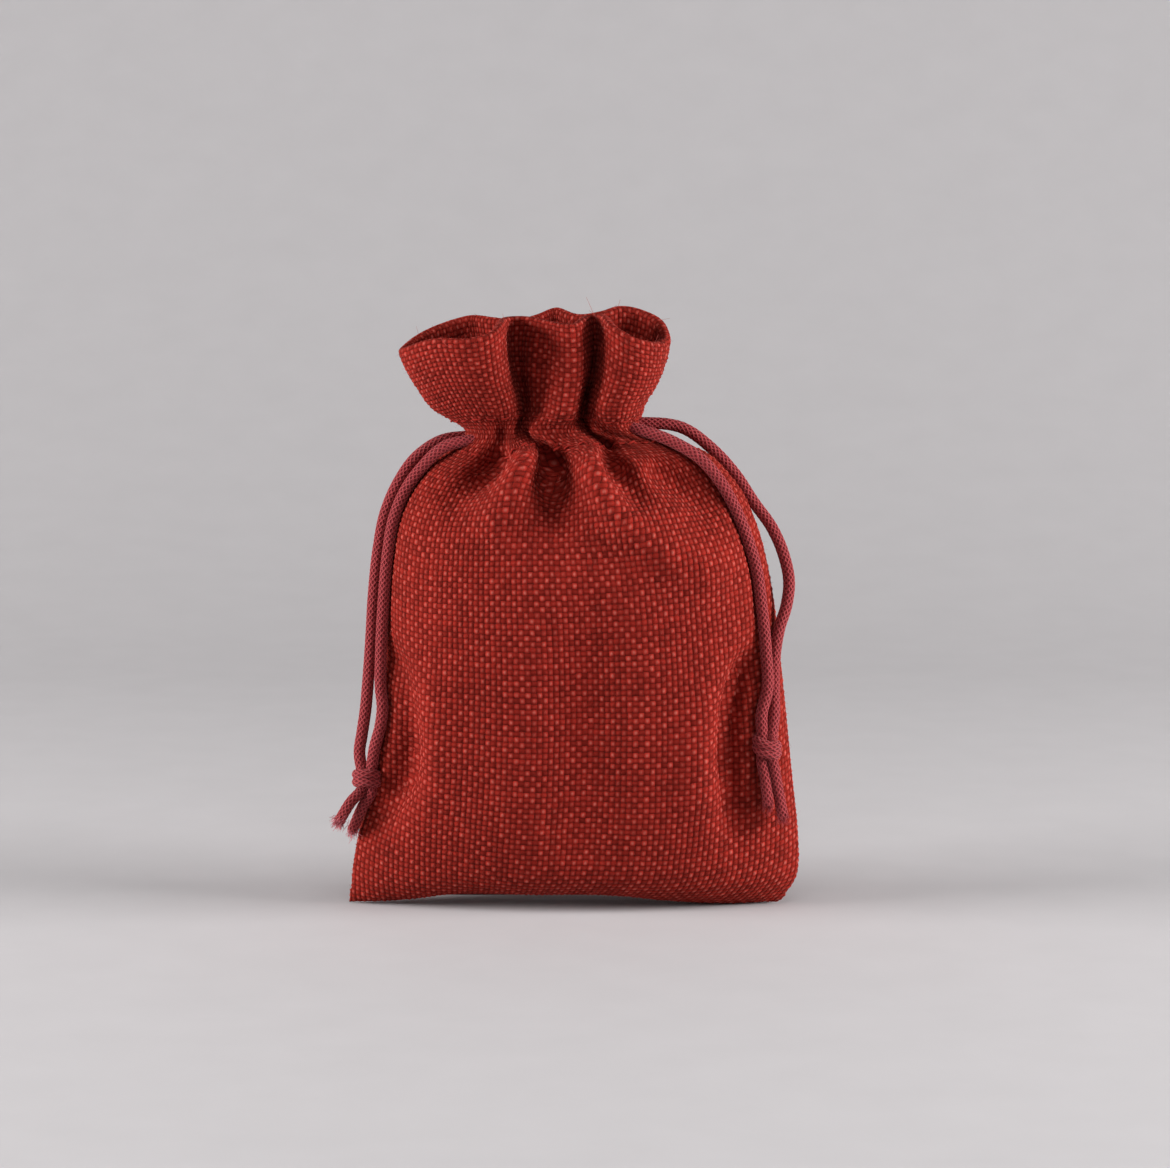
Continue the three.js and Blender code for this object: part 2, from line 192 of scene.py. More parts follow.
BACK_FOLDS = [
    [(-8, 105, 2.2, -2.4), (-9, 99, 3, -4.6), (-11, 92, 4.2, -2.6), (-14, 83, 5.6, -0.6)],
    [(3, 104, 2.2, -2.2), (4.6, 98, 3, -5), (6, 91, 4.2, -2.8), (8, 82, 5.6, -0.6)],
    [(-3, 104, 2.2, 1.4), (-2.6, 97, 2.8, 2.6), (-2, 89, 3.8, 2), (-1, 79, 5, 0.8)],
    [(-16, 103, 2.2, 1), (-20, 96, 3, 2.2), (-26, 88, 4.4, 1)],
    [(12, 103, 2.4, 1), (17, 97, 3, 2), (24, 89, 4.4, 1)],
    [(-6, 70, 7, -0.6), (-8, 46, 9, -1.5), (-4, 22, 9, -1.2), (-2, 6, 8, -0.4)],
    [(-36, 58, 3, -0.5), (-32, 44, 3.4, -2), (-34, 24, 3.6, -1.2), (-38, 10, 4, 0)],
]
CLOTH_UP = 141.0
CASING_SHARE = 114.0 / 141.0


class PouchSizes(bpy.types.PropertyGroup):
    """Sizes of the pouch's cloth and cords that a user may change."""

    threads_round: bpy.props.IntProperty(
        name="Threads round", description="Upright threads round the whole pouch",
        default=172, min=80, max=172)
    threads_up: bpy.props.IntProperty(
        name="Threads up", description="Level threads from the fold to the rim",
        default=120, min=60, max=120)
    weave_relief: bpy.props.FloatProperty(
        name="Weave relief", description="How far a thread's crown stands above the gaps",
        default=0.00026, min=0.0, max=0.001, subtype="DISTANCE", unit="LENGTH")
    cloth_thickness: bpy.props.FloatProperty(
        name="Cloth thickness", description="From the outer face to the lining",
        default=0.0014, min=0.0004, max=0.004, subtype="DISTANCE", unit="LENGTH")
    pleat_depth: bpy.props.FloatProperty(
        name="Pleat depth", description="Share of the full depth of the gathers round the drawn neck",
        default=1.0, min=0.0, max=1.2, subtype="FACTOR")
    braid_relief: bpy.props.FloatProperty(
        name="Braid relief", description="How far the braid's strands stand above the cord",
        default=0.00011, min=0.0, max=0.0003, subtype="DISTANCE", unit="LENGTH")


class PouchColours(bpy.types.PropertyGroup):
    """Colours of the pouch's threads, its cords and the stage, with painted shade for the gaps and grooves
    and a painted highlight for the crowns.
    """

    warp: bpy.props.FloatVectorProperty(
        name="Upright thread", description="Colour of the upright threads", subtype="COLOR",
        size=4, default=(0.33, 0.022, 0.015, 1.0), min=0.0, max=1.0)
    weft: bpy.props.FloatVectorProperty(
        name="Level thread", description="Colour of the level threads", subtype="COLOR",
        size=4, default=(0.26, 0.014, 0.009, 1.0), min=0.0, max=1.0)
    # Painted shade: a near-black red for the gaps between threads, where shade falls.
    gap: bpy.props.FloatVectorProperty(
        name="Painted gap shade", description="Colour down between the threads", subtype="COLOR",
        size=4, default=(0.050, 0.006, 0.005, 1.0), min=0.0, max=1.0)
    # Painted highlight: a pale salmon laid on the upright threads' crowns where the lamps would glint.
    crown: bpy.props.FloatVectorProperty(
        name="Painted crown highlights", description="Colour of the upright threads where they stand highest",
        subtype="COLOR", size=4, default=(0.48, 0.118, 0.092, 1.0), min=0.0, max=1.0)
    cord: bpy.props.FloatVectorProperty(
        name="Cord", description="Colour of the braided cord", subtype="COLOR",
        size=4, default=(0.37, 0.050, 0.054, 1.0), min=0.0, max=1.0)
    # Painted shade: a darker wine for the grooves between the cord's strands.
    cord_shade: bpy.props.FloatVectorProperty(
        name="Painted cord groove shade", description="Colour down between the cord's strands", subtype="COLOR",
        size=4, default=(0.16, 0.016, 0.020, 1.0), min=0.0, max=1.0)
    fray: bpy.props.FloatVectorProperty(
        name="Frayed ends", description="Colour of the loose filaments", subtype="COLOR",
        size=4, default=(0.68, 0.19, 0.22, 1.0), min=0.0, max=1.0)
    floor: bpy.props.FloatVectorProperty(
        name="Floor", description="Colour of the plain sweep", subtype="COLOR",
        size=4, default=(0.54, 0.52, 0.528, 1.0), min=0.0, max=1.0)


def hermite(knots, values, at):
    """Cubic curve through the values at the knots, its slopes by central differences."""
    knots = np.asarray(knots, float)
    values = np.asarray(values, float)
    at = np.asarray(at, float)
    slopes = np.gradient(values, knots, axis=0)
    i = np.clip(np.searchsorted(knots, at, side="right") - 1, 0, len(knots) - 2)
    span = knots[i + 1] - knots[i]
    t = (at - knots[i]) / span
    shape = t.shape + (1,) * (values.ndim - 1)
    t = t.reshape(shape)
    span = span.reshape(shape)
    near = values[i] * (2 * t**3 - 3 * t**2 + 1) + slopes[i] * span * (t**3 - 2 * t**2 + t)
    return near + values[i + 1] * (3 * t**2 - 2 * t**3) + slopes[i + 1] * span * (t**3 - t**2)


def lengths_along(points):
    """Running length of a polyline at each of its points."""
    steps = np.linalg.norm(np.diff(points, axis=0), axis=-1)
    return np.concatenate([[0.0], np.cumsum(steps)])


def at_shares(points, shares):
    """Points on a polyline at the given shares of its whole length."""
    run = lengths_along(points)
    run = run / run[-1]
    return np.stack([np.interp(shares, run, points[:, k]) for k in range(3)], axis=-1)


def smooth_path(points, step):
    """Even points about a step apart on a cubic curve through the given ones, by chord length."""
    points = np.asarray(points, float)
    knots = lengths_along(points)
    fine = hermite(knots, points, np.linspace(0.0, knots[-1], 40 * len(points)))
    count = max(8, int(round(lengths_along(fine)[-1] / step)))
    return at_shares(fine, np.linspace(0.0, 1.0, count + 1))


def unit(vectors):
    """Vectors scaled to length 1."""
    return vectors / np.maximum(np.linalg.norm(vectors, axis=-1, keepdims=True), 1e-9)


def carried_frames(path):
    """Side and top directions along a path, carried from point to point without twist."""
    tangents = unit(np.gradient(path, axis=0))
    first = np.cross(tangents[0], [0.0, 1.0, 0.0])
    if np.linalg.norm(first) < 0.2:
        first = np.cross(tangents[0], [1.0, 0.0, 0.0])
    sides = np.empty_like(path)
    sides[0] = unit(first)
    for i in range(1, len(path)):
        sides[i] = unit(sides[i - 1] - tangents[i] * (sides[i - 1] @ tangents[i]))
    return sides, np.cross(tangents, sides)


def eased(values, rounds=1, axis=0):
    """Values round a closed row, each time half their own and a quarter from either neighbour."""
    for _ in range(rounds):
        values = 0.25 * (np.roll(values, 1, axis) + np.roll(values, -1, axis) + 2 * values)
    return values


def mirrored(count):
    """Each column's partner on the other face of the folded cloth."""
    return (-np.arange(count)) % count


def new_piece(name, points, faces, uvs, material):
    """A mesh object at the origin, from points in millimetres, faces by point number and corner UVs."""
    mesh = bpy.data.meshes.new(name)
    points = np.asarray(points, float).reshape(-1, 3) * MM
    faces = np.asarray(faces, int)
    mesh.vertices.add(len(points))
    mesh.vertices.foreach_set("co", points.ravel())
    corners = faces.shape[1]
    mesh.loops.add(faces.size)
    mesh.loops.foreach_set("vertex_index", faces.ravel())
    mesh.polygons.add(len(faces))
    mesh.polygons.foreach_set("loop_start", np.arange(0, faces.size, corners))
    mesh.polygons.foreach_set("loop_total", np.full(len(faces), corners))
    mesh.polygons.foreach_set("use_smooth", np.ones(len(faces), bool))
    mesh.update(calc_edges=True)
    if uvs is not None:
        mesh.uv_layers.new(name="threads").data.foreach_set("uv", np.asarray(uvs, float).ravel())
    mesh.validate()
    piece = bpy.data.objects.new(name, mesh)
    bpy.context.scene.collection.objects.link(piece)
    mesh.materials.append(material)
    return piece


def ring_quads(number, run):
    """Quads between rings of numbered points, and corner UVs: share of the turn, and the ring's run."""
    rows, columns = number.shape
    i, j = np.meshgrid(np.arange(rows - 1), np.arange(columns), indexing="ij")
    corners = ((0, 0), (0, 1), (1, 1), (1, 0))
    faces = np.stack([number[i + up, (j + on) % columns] for up, on in corners], -1)
    uvs = np.stack([np.stack([(j + on) / columns, run[i + up]], -1) for up, on in corners], -2)
    return faces.reshape(-1, 4), uvs.reshape(-1, 2)


def tube_mesh(path, radius, relief=0.0, sides=32):
    """A round profile carried along a path, its surface raised as a diamond braid and its ends closed.

    Two families of helices cross: the height is the larger of two cosines of the strands
    times the angle plus and minus the way along, over the braid's pitch.
    """
    across, above = carried_frames(path)
    along = lengths_along(path)[:, None]
    turn = (np.arange(sides) / sides * 2 * np.pi)[None, :]
    lean = 2 * np.pi * along / BRAID_PITCH
    braid = np.maximum(np.cos(BRAID_STRANDS * turn + lean), np.cos(BRAID_STRANDS * turn - lean))
    reach = radius + relief * (braid - 0.4)
    ring = across[:, None] * (reach * np.cos(turn))[..., None]
    ring += above[:, None] * (reach * np.sin(turn))[..., None]
    points = (path[:, None] + ring).reshape(-1, 3)
    count = len(path)
    faces, uvs = ring_quads(np.arange(count * sides).reshape(count, sides), along[:, 0])
    points = np.concatenate([points, path[:1], path[-1:]])
    low = np.full(sides // 2, count * sides)
    top = (count - 1) * sides
    j = np.arange(0, sides, 2)
    ends = np.concatenate([
        np.stack([low, (j + 2) % sides, j + 1, j], -1),
        np.stack([low + 1, top + j, top + j + 1, top + (j + 2) % sides], -1),
    ])
    return points, np.concatenate([faces, ends]), np.concatenate([uvs, np.zeros((ends.size, 2))])


def joined(parts):
    """Several tube meshes as one set of points, quads and corner UVs."""
    points, faces, uvs = zip(*parts)
    bases = np.cumsum([0] + [len(one) for one in points])
    faces = [one + base for one, base in zip(faces, bases)]
    return np.concatenate(points), np.concatenate(faces), np.concatenate(uvs)


class Net:
    """Shorthand for one node tree: each method adds a node and gives its output socket."""

    def __init__(self, tree):
        self.tree = tree

    def put(self, kind, *values, out=0, **settings):
        made = self.tree.nodes.new("ShaderNode" + kind)
        for name, value in settings.items():
            setattr(made, name, value)
        for socket, value in zip(made.inputs, values):
            if isinstance(value, bpy.types.NodeSocket):
                self.tree.links.new(value, socket)
            elif value is not None:
                socket.default_value = value
        return made.outputs[out]

    def math(self, operation, *values):
        return self.put("Math", *values, operation=operation)

    def scaled(self, colour, gain):
        """A colour times a value."""
        return self.put("VectorMath", colour, None, None, gain, operation="SCALE")

    def streaks(self, across, across_scale, up, up_scale, detail, rough=0.5):
        """Noise drawn out by a scale of its own in each of two directions."""
        place = self.put("CombineXYZ", self.math("MULTIPLY", across, across_scale),
                         self.math("MULTIPLY", up, up_scale))
        return self.noise(place, 1.0, detail, rough)

    def mix(self, share, first, second):
        made = self.tree.nodes.new("ShaderNodeMix")
        made.data_type = "RGBA"
        for index, value in ((0, share), (6, first), (7, second)):
            if isinstance(value, bpy.types.NodeSocket):
                self.tree.links.new(value, made.inputs[index])
            else:
                made.inputs[index].default_value = value
        return made.outputs[2]

    def between(self, share, first, second):
        """A value that goes from first to second with share."""
        return self.math("MULTIPLY_ADD", share, self.math("SUBTRACT", second, first), first)

    def noise(self, vector, scale, detail=2.0, rough=0.5):
        made = self.tree.nodes.new("ShaderNodeTexNoise")
        self.tree.links.new(vector, made.inputs["Vector"])
        made.inputs["Scale"].default_value = scale
        made.inputs["Detail"].default_value = detail
        made.inputs["Roughness"].default_value = rough
        return made.outputs["Fac"]

    def chance(self, *values):
        """A random value from 0 to 1 for each set of whole numbers."""
        return self.put("TexWhiteNoise", self.put("CombineXYZ", *values), noise_dimensions="3D")


def new_group(name, inputs, outputs):
    """An empty shader node group with named sockets; gives the tree, its net and both ends' sockets."""
    tree = bpy.data.node_groups.new(name, "ShaderNodeTree")
    for socket, kind in inputs:
        tree.interface.new_socket(socket, in_out="INPUT", socket_type="NodeSocket" + kind)
    for socket, kind in outputs:
        tree.interface.new_socket(socket, in_out="OUTPUT", socket_type="NodeSocket" + kind)
    given = tree.nodes.new("NodeGroupInput").outputs
    return tree, Net(tree), given, tree.nodes.new("NodeGroupOutput").inputs


def plain_weave_group():
    """Plain weave of slubby threads, from a vector that counts threads across and up.

    Whole parts number the threads, and the parity of their sum says which thread is on top.
    A thread's height is a rounded profile across it times a crown along it, and its colour varies by
    thread, by crossing and along each thread; shade is painted into the gaps and a highlight onto the
    upright threads' crowns.
    """
    tree, net, given, result = new_group(
        "plain weave",
        [("Threads", "Vector"), ("Upright", "Color"), ("Level", "Color"), ("Gap Shade", "Color"),
         ("Crown Highlight", "Color")],
        [("Color", "Color"), ("Height", "Float"), ("Shine", "Float")])
    place = given["Threads"]
    sway = net.put("TexNoise", place, None, 0.35, 1.0, out=1)
    place = net.put("VectorMath", net.put("VectorMath", sway, (0.5, 0.5, 0.5), operation="SUBTRACT"),
                    (0.34, 0.34, 0.0), place, operation="MULTIPLY_ADD")
    split = net.put("SeparateXYZ", place)
    across = split
    up = split.node.outputs[1]
    column = net.math("FLOOR", across)
    row = net.math("FLOOR", up)
    side = net.math("SUBTRACT", net.math("SUBTRACT", across, column), 0.5)
    rise = net.math("SUBTRACT", net.math("SUBTRACT", up, row), 0.5)
    upright = net.math("FLOORED_MODULO", net.math("ADD", column, row), 2.0)
    off = net.between(upright, rise, side)
    on = net.between(upright, side, rise)
    slub = net.between(
        upright, net.streaks(across, 0.16, row, 3.7, 2.0), net.streaks(column, 3.7, up, 0.16, 2.0))
    width = net.math("MULTIPLY_ADD", slub, -1.4, 3.5)
    dome = net.math("COSINE", net.math("MULTIPLY", off, width))
    crown = net.math("COSINE", net.math("MULTIPLY", on, 2.7))
    fibres = net.between(
        upright, net.streaks(across, 1.3, up, 7.0, 3.0, 0.6), net.streaks(across, 7.0, up, 1.3, 3.0, 0.6))
    slant = net.math("MULTIPLY_ADD", off, 1.6, on)
    twist = net.math("SINE", net.math("MULTIPLY", slant, 15.0))
    body = net.math("MULTIPLY", dome, net.math("MULTIPLY_ADD", crown, 0.72, 0.28))
    height = net.math("MULTIPLY_ADD", fibres, 0.28, body)
    height = net.math("MULTIPLY_ADD", twist, 0.05, height)
    crossing = net.chance(column, row, 3.0)
    thread = net.between(upright, net.chance(row, 7.0, 1.0), net.chance(column, 11.0, 2.0))
    shade = net.math("MULTIPLY_ADD", crossing, 0.42, 0.50)
    shade = net.math("MULTIPLY_ADD", thread, 0.26, shade)
    shade = net.math("MULTIPLY_ADD", slub, 0.40, shade)
    shade = net.math("MULTIPLY", shade, net.math("MULTIPLY_ADD", fibres, 0.60, 0.55))
    colour = net.mix(upright, given["Level"], given["Upright"])
    # Painted shade: where the weave dips, the colour goes to the gap shade, standing in for shade between
    # threads.
    depth = net.put("MapRange", body, 0.0, 0.5, 0.0, 1.0)
    colour = net.mix(depth, given["Gap Shade"], net.scaled(colour, shade))
    # Painted highlight: the upright threads' crowns go pale salmon, standing in for the lamps' glints.
    painted_highlight = net.put("MapRange", net.math("MULTIPLY_ADD", fibres, 0.3, body), 0.78, 1.18, 0.0, 1.0)
    painted_highlight = net.math("MULTIPLY", painted_highlight, net.math("MULTIPLY_ADD", upright, 0.75, 0.12))
    painted_highlight = net.math("MULTIPLY", painted_highlight, net.math("MULTIPLY_ADD", crossing, 0.8, 0.25))
    colour = net.mix(painted_highlight, colour, given["Crown Highlight"])
    tree.links.new(colour, result["Color"])
    tree.links.new(height, result["Height"])
    tree.links.new(net.math("MULTIPLY_ADD", fibres, -0.20, 0.92), result["Shine"])
    return tree


def braid_group():
    """Fine diamond braid from a UV map of turns round the cord and millimetres along it.

    Two families of helices cross; the taller of their rectified cosines is on top, fine filaments run along
    each, and shade is painted into the grooves between them.
    """
    tree, net, given, result = new_group(
        "diamond braid",
        [("Place", "Vector"), ("Thread", "Color"), ("Groove Shade", "Color")],
        [("Color", "Color"), ("Height", "Float")])
    split = net.put("SeparateXYZ", given["Place"])
    turn = net.math("MULTIPLY", split, 2 * math.pi)
    along = net.math("MULTIPLY", split.node.outputs[1], 2 * math.pi / BRAID_PITCH)
    heights = []
    for hand in (1.0, -1.0):
        lean = net.math("MULTIPLY_ADD", along, hand, net.math("MULTIPLY", turn, BRAID_STRANDS))
        heights.append(net.math("COSINE", lean))
    top = net.math("MAXIMUM", *heights)
    fibres = net.streaks(turn, 9.0, split.node.outputs[1], 9.0, 3.0, 0.6)
    # Painted shade: where the braid's strands lie low, the colour goes to the groove shade; the same mask
    # raises the bump.
    level = net.put("MapRange", top, -0.3, 0.9, 0.0, 1.0)
    colour = net.scaled(given["Thread"], net.math("MULTIPLY_ADD", fibres, 0.8, 0.6))
    tree.links.new(net.mix(level, given["Groove Shade"], colour), result["Color"])
    tree.links.new(net.math("MULTIPLY_ADD", fibres, 0.35, level), result["Height"])
    return tree


def new_material(name, settings):
    """A material with one Principled shader, its sockets set; gives it, its net and those sockets."""
    material = bpy.data.materials.new(name)
    material.use_nodes = True
    sockets = material.node_tree.nodes["Principled BSDF"].inputs
    for socket, value in settings.items():
        sockets[socket].default_value = value
    return material, Net(material.node_tree), sockets


def finish_material(name, group, values, bump, sheen, tint):
    """A cloth finish: a group's colour and height on one Principled shader, with its own sheen."""
    material, net, sockets = new_material(name, {
        "Specular IOR Level": MATTE, "Specular Tint": tint,
        "Sheen Weight": sheen, "Sheen Roughness": 0.45, "Sheen Tint": tint,
    })
    tree = net.tree
    placed = tree.nodes.new("ShaderNodeGroup")
    placed.node_tree = group
    for socket, value in values.items():
        placed.inputs[socket].default_value = value
    raised = tree.nodes.new("ShaderNodeBump")
    raised.inputs["Strength"].default_value = 1.0
    raised.inputs["Distance"].default_value = bump
    tree.links.new(placed.outputs["Height"], raised.inputs["Height"])
    tree.links.new(raised.outputs["Normal"], sockets["Normal"])
    tree.links.new(placed.outputs["Color"], sockets["Base Color"])
    return material, net, sockets, placed


def cloth_material(sizes, colours):
    """Coarse red plain weave that follows the cloth's own UV map."""
    material, net, sockets, placed = finish_material(
        "coarse red weave", plain_weave_group(),
        {"Upright": colours.warp, "Level": colours.weft, "Gap Shade": colours.gap, "Crown Highlight": colours.crown},
        0.00040, 0.04, (0.95, 0.42, 0.32, 1.0))
    net.tree.links.new(placed.outputs["Shine"], sockets["Roughness"])
    uv = net.put("UVMap", uv_map="threads")
    threads = (sizes.threads_round, sizes.threads_up, 0.0)
    counted = net.put("VectorMath", uv, threads, operation="MULTIPLY")
    net.tree.links.new(counted, placed.inputs["Threads"])
    return material


def cord_material(colours):
    """Dull wine-red braid that follows the cord's own UV map."""
    material, net, sockets, placed = finish_material(
        "wine braid", braid_group(), {"Thread": colours.cord, "Groove Shade": colours.cord_shade},
        0.00025, 0.25, (0.9, 0.5, 0.5, 1.0))
    sockets["Roughness"].default_value = 0.62
    net.tree.links.new(net.put("UVMap", uv_map="threads"), placed.inputs["Place"])
    return material


def fray_material(name, colour):
    """Loose filaments, lighter than the cord, their shade changing from one to the next."""
    material, net, sockets = new_material(name, {
        "Roughness": 0.85, "Specular IOR Level": MATTE, "Sheen Weight": 0.06, "Sheen Tint": colour,
    })
    spread = net.noise(net.put("TexCoord", out=3), 900.0, 2.0)
    tint = net.mix(spread, tuple(0.55 * c for c in colour[:3]) + (1.0,), colour)
    net.tree.links.new(tint, sockets["Base Color"])
    return material


def strand_points(handed, facing, run):
    """A strand's points from its slot in the neck, along its run, to the top of its knot."""
    knot = KNOT_MIDDLES["left" if handed < 0 else "right"]
    slot = NECK_LEAN + handed * (NECK_HALF_WIDTH - HIDDEN_RUN)
    start = [slot, facing * EXIT_HALF_GAP, NECK_Z + handed * LEVEL]
    way = [[handed * (SEAM_HALF - drawn + CORD_RADIUS), y, NECK_Z - drop] for drawn, y, drop in run]
    end = [knot[0] + facing * handed * 0.9, knot[1], knot[2] + 1.2]
    return np.array([start] + way + [end], float)


STRANDS = [
    ("left_front_strand", -1, -1, LEFT_FRONT_RUN),
    ("left_back_strand", -1, 1, LEFT_BACK_RUN),
    ("right_front_strand", 1, -1, RIGHT_FRONT_RUN),
    ("right_back_strand", 1, 1, RIGHT_BACK_RUN),
]


def strand_paths():
    """Every strand's centreline with points about a path step apart."""
    return {name: smooth_path(strand_points(*strand), PATH_STEP) for name, *strand in STRANDS}


def ring_points(height, left, right, depth, pinch, count):
    """One level ring of the body, even by length on each face.

    Each face goes from seam to seam as x by a sine, y by a cosine raised to the pinch.
    """
    angle = np.linspace(-0.5 * np.pi, 0.5 * np.pi, 721)
    x = 0.5 * (right - left) + 0.5 * (right + left) * np.sin(angle)
    y = -depth * np.maximum(np.cos(angle), 0.0) ** pinch
    front = np.stack([x, y, np.full_like(x, height)], -1)
    back = front[::-1] * np.array([1.0, -1.0, 1.0])
    half = np.arange(count // 2) / (count // 2)
    return np.concatenate([at_shares(front, half), at_shares(back, half)])


def anchored_ring(points, anchors, count):
    """A closed smooth line through the points, on which each anchor point keeps its share of the turn."""
    points = np.asarray(points, float)
    points = np.concatenate([points, np.zeros((len(points), 3 - points.shape[1]))], -1)
    number = len(points)
    wrapped = points[np.arange(-3, number + 4) % number]
    fine = hermite(np.arange(-3.0, number + 4.0), wrapped, np.linspace(0.0, number, 40 * number + 1))
    run = lengths_along(fine)
    stops = [run[40 * index] for index, _ in anchors]
    wanted = np.interp(np.arange(count) / count, [share for _, share in anchors], stops)
    return np.stack([np.interp(wanted, run, fine[:, k]) for k in range(3)], -1)


def neck_ring(depth, count):
    """The gathered neck's line, its pleats scaled by depth."""
    ring = anchored_ring(NECK_LINE, NECK_ANCHORS, count)
    plain = eased(ring, count // 2)
    return plain + depth * (ring - plain) + np.array([0.0, 0.0, NECK_Z])


def cloth_target(sizes, round_count, up_count):
    """The cloth's aimed-for shape: body rings, neck and rim, joined up each column by length."""
    rings = [ring_points(*ring, round_count) for ring in BODY_RINGS]
    arch = np.array(FOLD_ARCH)
    for ring in rings[:6]:
        ring[:, 2] += hermite(arch[:, 0], arch[:, 1], ring[:, 0]) * np.exp(-ring[:, 2] / 9.0)
    casing = len(rings)
    rings.append(neck_ring(0.85 * sizes.pleat_depth, round_count))
    rim = anchored_ring(RIM_LINE, RIM_ANCHORS, round_count)
    above = anchored_ring(ABOVE_LINE, ABOVE_ANCHORS, round_count)
    above[:, 2] += NECK_Z + ABOVE_RISE
    rings.append(above)
    for share, bulge in ((0.36, 1.1), (0.70, 0.9)):
        mixed = (1 - share) * above + share * rim
        mixed[:, 2] += 0.6 * bulge
        out = unit(mixed[:, :2] - np.array([NECK_LEAN - 3.0, 0.0]))
        mixed[:, :2] += bulge * out
        rings.append(mixed)
    rings.append(rim)
    rings = np.array(rings)
    knots = np.arange(len(rings))
    steps = 24
    dense = hermite(knots, rings, np.linspace(0, knots[-1], knots[-1] * steps + 1))
    run = np.concatenate([np.zeros((1, round_count)),
                          np.cumsum(np.linalg.norm(np.diff(dense, axis=0), axis=-1), axis=0)])
    split = casing * steps
    rows = np.arange(up_count) / (up_count - 1)
    below = np.clip(rows / CASING_SHARE, 0.0, 1.0)
    over = np.clip((rows - CASING_SHARE) / (1 - CASING_SHARE), 0.0, 1.0)
    whole = run[split]
    even = eased(whole, round_count)
    reach = even + (whole - even) * below[:, None] ** 8
    wanted = reach * below[:, None] + (run[-1] - whole) * over[:, None]
    grid = np.empty((up_count, round_count, 3))
    for column in range(round_count):
        for k in range(3):
            grid[:, column, k] = np.interp(wanted[:, column], run[:, column], dense[:, column, k])
    press_folds(grid, 1.0)
    return grid


def press_folds(grid, share):
    """Press every fold of the front and the back into the cloth at a share of its lift."""
    for face, folds in ((-1.0, FRONT_FOLDS), (1.0, BACK_FOLDS)):
        for fold in folds:
            press_fold(grid, np.array(fold) * (1.0, 1.0, 1.0, share), face)


def press_fold(grid, fold, face):
    """Lift or sink one face along a fold: a bell of the distance from its way, seen square on."""
    fold = np.array(fold, float)
    way = hermite(lengths_along(fold[:, :2]), fold, np.linspace(0.0, lengths_along(fold[:, :2])[-1], 60))
    normals = grid_normals(grid)
    facing = np.clip(face * normals[..., 1] * 2.0, 0.0, 1.0)
    offsets = grid[..., None, [0, 2]] - way[:, :2]
    gaps = np.einsum("ijkl,ijkl->ijk", offsets, offsets)
    nearest = gaps.argmin(-1)
    close = np.take_along_axis(gaps, nearest[..., None], -1)[..., 0]
    ends = np.minimum(np.arange(60), np.arange(60)[::-1]) / 8.0
    lift = way[nearest, 3] * np.clip(ends[nearest], 0.25, 1.0) * np.exp(-close / way[nearest, 2] ** 2)
    grid += normals * (facing * lift)[..., None]


def grid_normals(grid):
    """Outward normals of a grid that closes round its columns, by crossing the two middle differences."""
    ahead = np.roll(grid, -1, 1) - np.roll(grid, 1, 1)
    up = np.gradient(grid, axis=0)
    return unit(np.cross(ahead, up))


def pull_threads(grid, rest, axis, skip, out_give, in_give):
    """Move both ends of each stretch of thread along it towards its rest length."""
    if axis:
        here = grid
        ahead = np.roll(grid, -skip, 1)
    else:
        here = grid[:-skip]
        ahead = grid[skip:]
    way = ahead - here
    length = np.sqrt(np.einsum("ijk,ijk->ij", way, way)) + 1e-9
    excess = 1.0 - rest / length
    way *= (0.25 * np.where(excess > 0, out_give, in_give) * excess)[..., None]
    if axis:
        grid += way
        grid -= np.roll(way, skip, 1)
    else:
        grid[:-skip] += way
        grid[skip:] -= way


def pull_slants(grid, rest, give):
    """Resist the weave's shear by both slanting lengths of every mesh."""
    for hand in (1, -1):
        here = grid[:-1]
        ahead = np.roll(grid[1:], -hand, 1)
        way = ahead - here
        length = np.sqrt(np.einsum("ijk,ijk->ij", way, way)) + 1e-9
        way *= (0.25 * give * (1.0 - rest / length))[..., None]
        grid[:-1] += way
        grid[1:] -= np.roll(way, hand, 1)


def press_cords(grid, normals, paths, clear):
    """Push the cloth inwards where a strand's centreline comes closer than the clear distance."""
    flat = grid.reshape(-1, 3)
    inward = -normals.reshape(-1, 3)
    for path in paths:
        low = path.min(0) - clear
        high = path.max(0) + clear
        near = np.nonzero(np.all((flat > low) & (flat < high), axis=1))[0]
        if not len(near):
            continue
        gaps = flat[near][:, None] - path[None, ::3]
        closest = np.sqrt(np.einsum("ijk,ijk->ij", gaps, gaps).min(1))
        flat[near] += inward[near] * np.maximum(clear - closest, 0.0)[:, None]


def relax_cloth(grid, target, paths, rounds, hold, swell):
    """Settle the cloth: threads keep their length, bends and shear push back, the filling swells it,
    the floor and the cords stop it, and each row is drawn to its aimed-for place by its own hold."""
    up_count, round_count = grid.shape[:2]
    steps = eased(np.linalg.norm(np.roll(target, -1, 1) - target, axis=-1), 6, 1)
    share = np.arange(up_count) / (up_count - 1)
    spare = np.interp(share, [0.0, 0.5, 0.7, 0.77, 0.85, 1.0], [1.0, 1.005, 1.03, 1.04, 1.04, 1.02])
    rest_round = steps * spare[:, None]
    rest_up = CLOTH_UP / (up_count - 1)
    slant = np.hypot(rest_round[:-1], rest_up)
    inside = np.clip((CASING_SHARE - 0.06 - share) / 0.2, 0.0, 1.0)[:, None, None]
    partner = mirrored(round_count)
    for step in range(rounds):
        normals = grid_normals(grid)
        grid += swell * inside * normals
        grid[..., 2] -= 0.004
        grid += hold * (target - grid)
        pull_threads(grid, rest_round * 2, 1, 2, 0.0, 0.03)
        pull_threads(grid, rest_up * 2, 0, 2, 0.0, 0.05)
        pull_slants(grid, slant, 0.06)
        pull_threads(grid, rest_up, 0, 1, 0.6, 0.3)
        pull_threads(grid, rest_round, 1, 1, 0.6, 0.3)
        grid[0] = 0.5 * (grid[0] + grid[0, partner])
        grid[..., 2] = np.maximum(grid[..., 2], 0.3)
        if step % 12 == 11:
            press_cords(grid, normals, paths, CORD_RADIUS + 0.45)
    return grid


